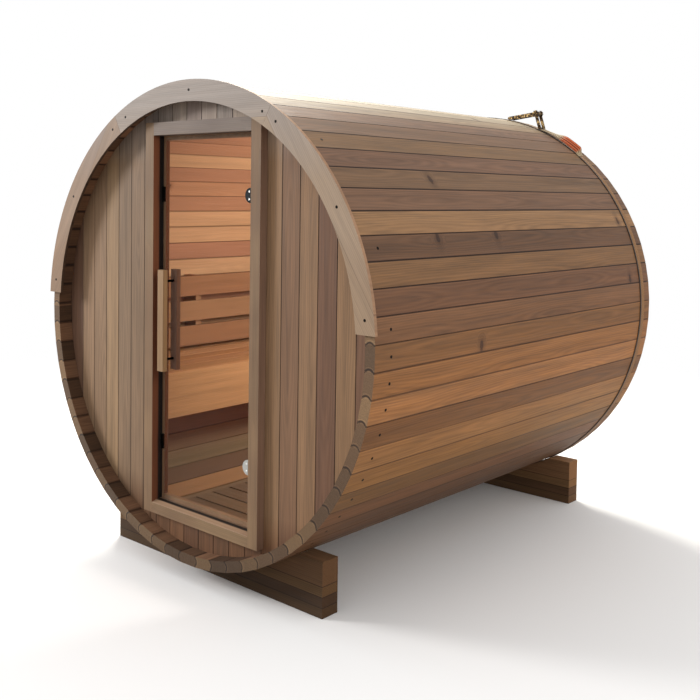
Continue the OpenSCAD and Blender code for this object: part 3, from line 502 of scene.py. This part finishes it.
# Door frame: two cedar jambs, a head and a sloped sill, screwed together and set in the front wall, with stop
# strips round the inside behind the glass. It is planed cedar: greyed and matt on its faces, red on the sides
# of the rebate, and black in the shadow that the glass leaves on the sill, the stops and the jamb.
GLASS_Y = -0.9465
for name, upright in (("door_jamb_left", True), ("door_jamb_right", True), ("door_head", False),
                      ("door_sill", False), ("door_stops", True)):
    post, tree = finish_of("planed_cedar_" + name)
    where = add(tree, "TexCoord", out="Object").node
    place = add(tree, "SeparateXYZ", where.outputs["Object"]).node.outputs
    facing = add(tree, "SeparateXYZ", where.outputs["Normal"]).node.outputs
    # The head takes greyer tones than the jambs: painted sky light from above.
    tones = {"door_stops": ["#84644a", "#8f6d50", "#987658"],
             "door_head": ["#706259", "#796b61", "#83756b"]}.get(name, ["#735a44", "#7e644b", "#886f53"])
    level = add(tree, "Math", place["X"], place["Z"], operation="ADD")
    greyed_and_painted_light = add(tree, "ValToRGB", add(tree, "TexNoise", where.outputs["Object"], None, 3.0, 2.0, 0.5),
                 ramp=[(0.3, tones[0]), (0.7, tones[2]), (0.5, tones[1])])
    red = add(tree, "Math", add(tree, "Math", facing["X"], operation="ABSOLUTE"), 0.7,
              operation="GREATER_THAN")
    if name == "door_sill":
        on_top = add(tree, "Math", facing["Z"], 0.6, operation="GREATER_THAN")
        under = add(tree, "Math", add(tree, "Math", place["Y"], GLASS_Y, operation="SUBTRACT"),
                    operation="ABSOLUTE")
        under = add(tree, "MapRange", under, 0.006, 0.009, 1.0, 0.0)
        under = add(tree, "MixRGB", under, linear("#987c63"), linear("#1d1611"))
        greyed_and_painted_light = add(tree, "MixRGB", on_top, greyed_and_painted_light, under)
    if name == "door_stops":
        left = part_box(name)[0][0]
        beside = add(tree, "MapRange", place["X"], left + 0.003, left + 0.005, 1.0, 0.0)
        greyed_and_painted_light = add(tree, "MixRGB", beside, greyed_and_painted_light, linear("#15110e"))
    # The right jamb's sides, in shade, are made paler than its face: painted light.
    side = linear("#9a7b66" if name == "door_jamb_right" else "#693f2a")
    if name == "door_jamb_left":
        side = add(tree, "MixRGB", add(tree, "MapRange", place["Y"], -0.951, -0.947), side, linear("#221d1b"))
    base = add(tree, "MixRGB", red, greyed_and_painted_light, side)
    cedar(tree, add(tree, "Math", level, 1.0, operation="FLOOR"),
          add(tree, "Math", place["X" if upright else "Z"], place["Y"], operation="ADD"),
          place["Z" if upright else "X"], base)
    dress(post, name)


# Catches: two small black steel keepers on the left stop, level with the hinges.
dress(dark_screw, "jamb_catches")


# Door glass: one sheet of 8 mm tempered clear glass with polished edges and a faint green cast. The cabin
# shows through it, and its reflections grow at a slant.
pane, tree = finish_of("tempered_clear_glass")
glint = add(tree, "Math", add(tree, "LayerWeight", out="Facing"), 4.0, operation="POWER")
cover = add(tree, "Math", glint, 0.8, 0.05, operation="MULTIPLY_ADD")
add(tree, "OutputMaterial", add(tree, "BsdfPrincipled", named={
    "Base Color": linear("#1a211d"), "Roughness": 0.02, "IOR": 1.5, "Alpha": cover}))
dress(pane, "door_glass")


# Hinges: cast stainless clamps that grip the glass between two plates and turn on pins in leaves on the jamb.
# Each clamp is held by two countersunk screws.
# Satin stainless steel: soft grey glints with upright brush marks 0.4 mm apart and 17 mm long. The upper
# hinge is given a near-black colour.
steel, tree = finish_of("satin_stainless_steel")
where = add(tree, "TexCoord", out="Object")
brush = add(tree, "Mapping", where, named={"Scale": (2500.0, 2500.0, 60.0)})
brush = add(tree, "TexNoise", brush, None, 1.0, 2.0, 0.5)
upper_hinge = add(tree, "Math", add(tree, "SeparateXYZ", where, out="Z"), 1.0, operation="GREATER_THAN")
colour = add(tree, "MixRGB", brush, linear("#7f7f7b"), linear("#a9a9a6"))
colour = add(tree, "MixRGB", upper_hinge, colour, linear("#1d2022"))
add(tree, "OutputMaterial", add(tree, "BsdfPrincipled", named={
    "Base Color": colour, "Metallic": 1.0, "Roughness": add(tree, "MapRange", brush, 0.3, 0.7, 0.26, 0.38)}))
dress(steel, "hinge_leaves", "hinge_clamps")

# Bright stainless steel: polished heads that show as small pale dots, with wear 1.4 mm across.
bright, tree = finish_of("bright_stainless_screws")
wear = add(tree, "TexNoise", add(tree, "TexCoord", out="Object"), None, 700.0, 2.0, 0.5)
add(tree, "OutputMaterial", add(tree, "BsdfPrincipled", named={
    "Base Color": add(tree, "MixRGB", wear, linear("#b4b4b2"), linear("#dededc")), "Metallic": 1.0,
    "Roughness": add(tree, "MapRange", wear, 0.3, 0.7, 0.2, 0.35)}))
CLAMP_Y, HINGE_Z, SCREW_APART = -0.9529, (1.481, 0.489), 0.027
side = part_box("hinge_clamps")[1][0] - 0.034
spots = np.array([[side, CLAMP_Y, z + d * SCREW_APART] for z in HINGE_Z for d in (0.5, -0.5)])
clamp_screws = heads("clamp_screws", spots, np.tile([0.0, -1.0, 0.0], (4, 1)), 0.0044, 0.0012)
clamp_screws.data.materials.append(bright)
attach(clamp_screws, "door")


# Handles: a pale bar outside and a dark one inside, bolted to each other through two holes in the glass. They
# are sanded cedar, smoother than the boards, with a faint sheen.
for name, tones in (("handle_outer", ["#8b6c4c", "#987855"]), ("handle_inner", ["#684a3a", "#765544"])):
    grip, tree = finish_of("sanded_cedar_" + name)
    place = add(tree, "SeparateXYZ", add(tree, "TexCoord", out="Object")).node.outputs
    cedar(tree, add(tree, "Math", place["Y"], 9.0, operation="MULTIPLY"),
          add(tree, "Math", place["X"], place["Y"], operation="ADD"), place["Z"], tones, rough=0.5)
    dress(grip, name)
dress(dark_screw, "handle_bolts")


# Bench: five seat boards, a wide apron below their front edge and bearers cut to the round of the staves,
# with a backrest of three slats on posts. It is fresh cedar: indoors it keeps its matt orange colour.
CABIN = ["#a8764c", "#b2855a", "#be9168", "#ac7c55", "#b88a62"]
BACK = ["#94684a", "#9f7756", "#aa8162"]
FRONT = ["#c08d61", "#c9996a", "#cfa175"]
for name, split, pitch, run, tones in (
        ("bench_seat", "X", 0.0946, "Y", CABIN), ("bench_apron", "Z", 0.4, "Y", FRONT),
        ("bench_bearers", "Y", 0.5, "X", CABIN), ("backrest_slats", "Z", 0.12, "Y", BACK),
        ("backrest_posts", "Y", 0.5, "Z", BACK)):
    cut, tree = finish_of("fresh_cedar_" + name)
    place = add(tree, "SeparateXYZ", add(tree, "TexCoord", out="Object")).node.outputs
    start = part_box(name)[0]["XYZ".index(split)]
    count = add(tree, "Math", place[split], 1 / pitch, -start / pitch, operation="MULTIPLY_ADD")
    count = add(tree, "Math", count, operation="FLOOR")
    spread = add(tree, "Math", place[split], place["Z" if split != "Z" else "X"], operation="ADD")
    cedar(tree, count, spread, place[run], tones)
    dress(cut, name)


# Floor: a duckboard of cedar slats across the cabin on two runners, with a strip along each end of the slats.
# It is trodden cedar, brown and dull, and dark at the slits.
SLAT_PITCH, STRIP_W = 0.096, 0.0345
slat, tree = finish_of("trodden_cedar_floor")
place = add(tree, "SeparateXYZ", add(tree, "TexCoord", out="Object")).node.outputs
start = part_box("floor_slats")[0]
count = add(tree, "Math", place["Y"], 1 / SLAT_PITCH, -start[1] / SLAT_PITCH, operation="MULTIPLY_ADD")
count = add(tree, "Math", count, operation="FLOOR")
edge = add(tree, "Math", add(tree, "Math", place["X"], operation="ABSOLUTE"), -start[0] - STRIP_W,
           operation="GREATER_THAN")
slit = add(tree, "Math", place["Y"], start[1] - 0.004, operation="SUBTRACT")
slit = joint(tree, slit, SLAT_PITCH, 0.0095)
along = add(tree, "MixRGB", edge, place["X"], place["Y"])
across = add(tree, "MixRGB", edge, place["Y"], place["X"])
cedar(tree, add(tree, "MixRGB", edge, count, (40.0, 40.0, 40.0, 1.0)), across, along,
      ["#735943", "#80654c", "#8b7054", "#785d47"],
      seam=add(tree, "Math", slit, edge, operation="MAXIMUM"), rough=0.7)
dress(slat, "floor_slats", "floor_runners")


# Strap: a band of woven polyester webbing, 38 mm wide, pulled tight round the rear of the barrel to hold the
# staves. Its weave is drawn at 3 mm, three times too coarse, so that it shows.
STRAP_Y, STRAP_R = 0.9415, 0.9169


def webbing(name, colours):
    """Woven polyester webbing: a matt cloth with ribs across it, soiled, with a painted shadow along its
    front edge.
    """
    made, tree = finish_of(name)
    place = add(tree, "SeparateXYZ", add(tree, "TexCoord", out="Object")).node.outputs
    up = add(tree, "Math", place["Z"], AXIS_Z, operation="SUBTRACT")
    girth = add(tree, "Math", add(tree, "Math", up, place["X"], operation="ARCTAN2"), 0.915,
                operation="MULTIPLY")
    rib = add(tree, "Math", girth, 2 * math.pi / 0.003, operation="MULTIPLY")
    rib = add(tree, "Math", rib, operation="SINE")
    warp = add(tree, "Math", place["Y"], 2 * math.pi / 0.0045, operation="MULTIPLY")
    warp = add(tree, "Math", warp, operation="SINE")
    weave = add(tree, "Math", rib, warp, operation="MULTIPLY")
    tone = add(tree, "MapRange", weave, -1.0, 1.0, 0.0, 1.0)
    colour = add(tree, "MixRGB", tone, linear(colours[0]), linear(colours[1]))
    soil = add(tree, "TexNoise", add(tree, "TexCoord", out="Object"), None, 14.0, 3.0, 0.6)
    colour = add(tree, "MixRGB", add(tree, "MapRange", soil, 0.5, 0.8, 0.0, 0.4), colour, linear(colours[2]))
    # Painted shadow: the front edge of the band is darkened to the last colour.
    edge = add(tree, "MapRange", place["Y"], STRAP_Y - 0.012, STRAP_Y - 0.008, 1.0, 0.0)
    colour = add(tree, "MixRGB", edge, colour, linear(colours[3]))
    bump = add(tree, "Bump", 0.5, 0.0006, named={"Height": weave})
    add(tree, "OutputMaterial", add(tree, "BsdfPrincipled", named={
        "Base Color": colour, "Roughness": 0.85, "Normal": bump, "Sheen Weight": 0.2}))
    return made


# The last colour is the painted shadow along the front edge.
tan_web = webbing("tan_polyester_webbing", ("#7a5427", "#9c6b32", "#523a1e", "#2c1c10"))
dress(tan_web, "strap_band")


# Loose end: the rest of the webbing. It leaves the ratchet flat, turns on edge so that its orange side shows,
# and folds sharply down to the barrel again.
def ease(place, start, stop):
    """Smooth step: 0 before start, 1 after stop, and t * t * (3 - 2 * t) between them."""
    t = np.clip((place - start) / (stop - start), 0, 1)
    return t * t * (3 - 2 * t)


# p(u, v) = (r cos(turn), y, r sin(turn)) about the barrel's axis, where u runs along the webbing and v across
# it: y and r go HALF * v out from the middle, turned by twist, and lift and a slight wave are added to r.
LONG, WIDE, HALF = 71, 9, 0.0185
u, v = np.meshgrid(np.linspace(0, 1, LONG), np.linspace(-1, 1, WIDE), indexing="ij")
fall = ease(u, 0.82, 0.98)
turn = np.radians(66.0 - 16.5 * u + 0.8 * fall)
twist = np.radians(6 + 42 * ease(u, 0.25, 0.55) - 38 * fall)
lift = 0.006 + 0.013 * ease(u, 0.0, 0.6) - 0.0165 * fall
y = STRAP_Y - 0.006 * ease(u, 0.3, 0.7) * (1 - fall) + HALF * v * np.cos(twist)
r = STRAP_R + lift + HALF * v * np.sin(twist) + 0.0012 * np.cos(2.5 * math.pi * v) * (1 - fall)
verts = np.stack([r * np.cos(turn), y, AXIS_Z + r * np.sin(turn)], -1)
i, j = np.meshgrid(np.arange(LONG - 1), np.arange(WIDE - 1), indexing="ij")
first = i * WIDE + j
quads = np.stack([first, first + 1, first + WIDE + 1, first + WIDE], -1).reshape(-1, 4)
loose = piece("strap_loose_end", verts, quads.tolist())
weave_map = loose.data.uv_layers.new(name="weave")
weave_map.data.foreach_set("uv", np.stack([u.ravel()[quads], v.ravel()[quads]], -1).ravel())
thick = loose.modifiers.new("thickness", "SOLIDIFY")
thick.thickness, thick.offset = 0.0018, 0.0

# Polyester webbing again, dyed orange with dark threads along it, which are drawn 11 mm apart so that they
# show. Its ends are pale tan; where it leaves the ratchet this is a painted highlight, for light from above.
orange_web, tree = finish_of("striped_polyester_webbing")
weave = add(tree, "SeparateXYZ", add(tree, "UVMap", uv_map="weave")).node.outputs
thread = add(tree, "Math", weave["Y"], 3.5 * math.pi, operation="MULTIPLY")
thread = add(tree, "Math", thread, operation="SINE")
pick = add(tree, "Math", weave["X"], 2 * math.pi * 90, operation="MULTIPLY")
pick = add(tree, "Math", pick, operation="SINE")
dyed = add(tree, "ValToRGB", add(tree, "MapRange", thread, -1.0, 1.0), ramp=[
    (0.0, "#4a2414"), (1.0, "#dd7038"), (0.25, "#8f3f1c"), (0.5, "#cf5a26")])
# Pale tan at both ends: a painted highlight on the part that leaves the ratchet.
pale_ends_with_painted_light = add(tree, "MixRGB", add(tree, "MapRange", thread, -1.0, 1.0), linear("#7d6549"), linear("#c9b591"))
near = add(tree, "MapRange", weave["X"], 0.40, 0.50, 0.0, 1.0)
near = add(tree, "Math", near, add(tree, "MapRange", weave["X"], 0.84, 0.90, 1.0, 0.0), operation="MULTIPLY")
bump = add(tree, "Bump", 0.5, 0.0006, named={"Height": add(tree, "Math", thread, pick, operation="MULTIPLY")})
add(tree, "OutputMaterial", add(tree, "BsdfPrincipled", named={
    "Base Color": add(tree, "MixRGB", near, pale_ends_with_painted_light, dyed), "Roughness": 0.85, "Normal": bump,
    "Sheen Weight": 0.2}))
loose.data.materials.append(orange_web)
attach(loose, "sauna")
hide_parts("strap_tail")


# Ratchet: pressed steel side plates and lever, zinc plated yellow, nearly black with patches of brass that
# are painted glints. A toothed wheel stands on each end of its drum, outside the plates.
zinc, tree = finish_of("yellow_zinc_plate_with_painted_glints")
where = add(tree, "TexCoord", out="Object")
cloud = add(tree, "TexNoise", where, None, 85.0, 3.0, 0.6)
# Painted glints: random patches go bright brass, and shinier, on a near-black ground.
colour = add(tree, "ValToRGB", cloud, ramp=[(0.40, "#120e0a"), (0.70, "#c9ab74"), (0.54, "#473520")])
add(tree, "OutputMaterial", add(tree, "BsdfPrincipled", named={
    "Base Color": colour, "Metallic": 0.85, "Roughness": add(tree, "MapRange", cloud, 0.3, 0.7, 0.55, 0.3)}))
dress(zinc, "strap_ratchet")

TILT, DRUM_UP, DRUM_BACK, TEETH, STEPS = math.radians(72), 0.066, -0.046, 11, 6
rad, tan = np.array([math.cos(TILT), 0, math.sin(TILT)]), np.array([-math.sin(TILT), 0, math.cos(TILT)])
hub = (STRAP_R + 0.0004 + DRUM_UP) * rad + DRUM_BACK * tan + [0, STRAP_Y, AXIS_Z]
# Saw-toothed discs: radius 12.5 mm plus 5.5 mm times the fraction of the tooth, carried across the thickness.
count = TEETH * STEPS
k = np.arange(count)
after = (k + 1) % count
bend = 2 * math.pi * k / count
saw = 0.0125 + 0.0055 * (k % STEPS) / (STEPS - 1)
ringed = saw[:, None] * (np.cos(bend)[:, None] * rad + np.sin(bend)[:, None] * tan)
verts, faces = [], []
for side in (-1, 1):
    for depth in (0.0224, 0.0250):
        verts.append(hub + ringed + [0, side * depth, 0])
for start in (0, 2 * count):
    teeth = np.stack([k, after, count + after, count + k], 1) + start
    faces += teeth.tolist() + [(start + k).tolist(), (start + count + k).tolist()]
wheels = piece("ratchet_wheels", np.concatenate(verts), faces, smooth=False)
form = bmesh.new()
form.from_mesh(wheels.data)
bmesh.ops.recalc_face_normals(form, faces=form.faces)
form.to_mesh(wheels.data)
form.free()
wheels.data.materials.append(zinc)
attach(wheels, "sauna")


# Studio: a pale floor that keeps the shadow, a soft key from the upper left, sky-like fill and a white
# backdrop. The floor fades out, and its bounce is a little browner than it looks.
def looked_at(tree):
    """1 for rays that come from the camera, straight, by a mirror or through glass, and 0 for others."""
    path = add(tree, "LightPath").node.outputs
    seen = add(tree, "Math", path["Is Camera Ray"], path["Is Glossy Ray"], operation="MAXIMUM")
    return add(tree, "Math", seen, path["Is Transmission Ray"], operation="MAXIMUM")


SPAN, BELOW = 6.0, -0.0005
corners = [(-SPAN, -SPAN, BELOW), (SPAN, -SPAN, BELOW), (SPAN, SPAN, BELOW), (-SPAN, SPAN, BELOW)]
ground = piece("studio_floor", corners, [(0, 1, 2, 3)], smooth=False)
pale, tree = finish_of("white_studio_floor")
seen = looked_at(tree)
reach = add(tree, "VectorMath", add(tree, "TexCoord", out="Object"), operation="LENGTH", out="Value")
fade = add(tree, "MapRange", reach, 1.6, 5.0, 1.0, 0.0, interpolation_type="SMOOTHSTEP")
add(tree, "OutputMaterial", add(tree, "BsdfPrincipled", named={
    "Base Color": add(tree, "MixRGB", seen, linear("#9a8d80"), linear("#fafafa")), "Roughness": 0.9,
    "Specular IOR Level": 0.0, "Alpha": fade}))
ground.data.materials.append(pale)

world = bpy.data.worlds.new("studio_backdrop")
bpy.context.scene.world = world
world.use_nodes = True
tree = world.node_tree
tree.nodes.clear()
height = add(tree, "SeparateXYZ", add(tree, "TexCoord", out="Generated"), out="Z")
sky = add(tree, "MapRange", height, -0.2, 0.2, 0.42, 0.86)
strength = add(tree, "Math", sky, looked_at(tree), operation="MAXIMUM")
add(tree, "OutputWorld", add(tree, "Background", (1.0, 1.0, 1.0, 1.0), strength))

for name, spot, aim, width, power, tint in (
        ("key", (-8.0, -6.2, 4.0), (0, 0, 0.9), 2.6, 740.0, (1.0, 0.98, 0.96)),
        ("side", (7.5, 0.5, 3.0), (0, 0, 0.8), 4.0, 110.0, (1.0, 0.96, 0.90)),
        ("top", (-3.5, 3.0, 5.5), (0, 0.3, 1.8), 2.0, 460.0, (1.0, 0.97, 0.87)),
        ("cabin", (0.55, 0.0, 1.45), (-0.7, 0.1, 0.95), 0.6, 19.0, (1.0, 0.96, 0.90))):
    lamp = bpy.data.lights.new(name, "AREA")
    lamp.size, lamp.energy, lamp.color = width, power, tint
    made = bpy.data.objects.new(name, lamp)
    made.location = spot
    made.rotation_euler = (Vector(aim) - Vector(spot)).to_track_quat("-Z", "Y").to_euler()
    made.visible_camera = False
    made.visible_glossy = name != "cabin"
    bpy.context.collection.objects.link(made)

# Camera: fitted to the rims, the cradles and the stave joints, in the part's own frame.
EYE, PIXELS, SENSOR = (2.8011, -3.3338, 1.4857), 700, 36.0
FOCAL, YAW, PITCH, ROLL = 960.35, 0.7412, 0.0476, -0.0137
ahead = np.array([-math.sin(YAW) * math.cos(PITCH), math.cos(YAW) * math.cos(PITCH), -math.sin(PITCH)])
right = np.array([math.cos(YAW), math.sin(YAW), 0.0])
down = np.cross(ahead, right)
right, down = (math.cos(ROLL) * right + math.sin(ROLL) * down,
               math.cos(ROLL) * down - math.sin(ROLL) * right)
lens = bpy.data.cameras.new("studio_camera")
lens.sensor_width, lens.lens = SENSOR, FOCAL * SENSOR / PIXELS
lens.shift_x, lens.shift_y = 30 / PIXELS, -109.2 / PIXELS
camera = bpy.data.objects.new("studio_camera", lens)
camera.matrix_world = Matrix([[right[k], -down[k], -ahead[k], EYE[k]] for k in range(3)] + [[0, 0, 0, 1]])
bpy.context.collection.objects.link(camera)
bpy.context.scene.camera = camera

bpy.context.scene.view_settings.view_transform = "Standard"
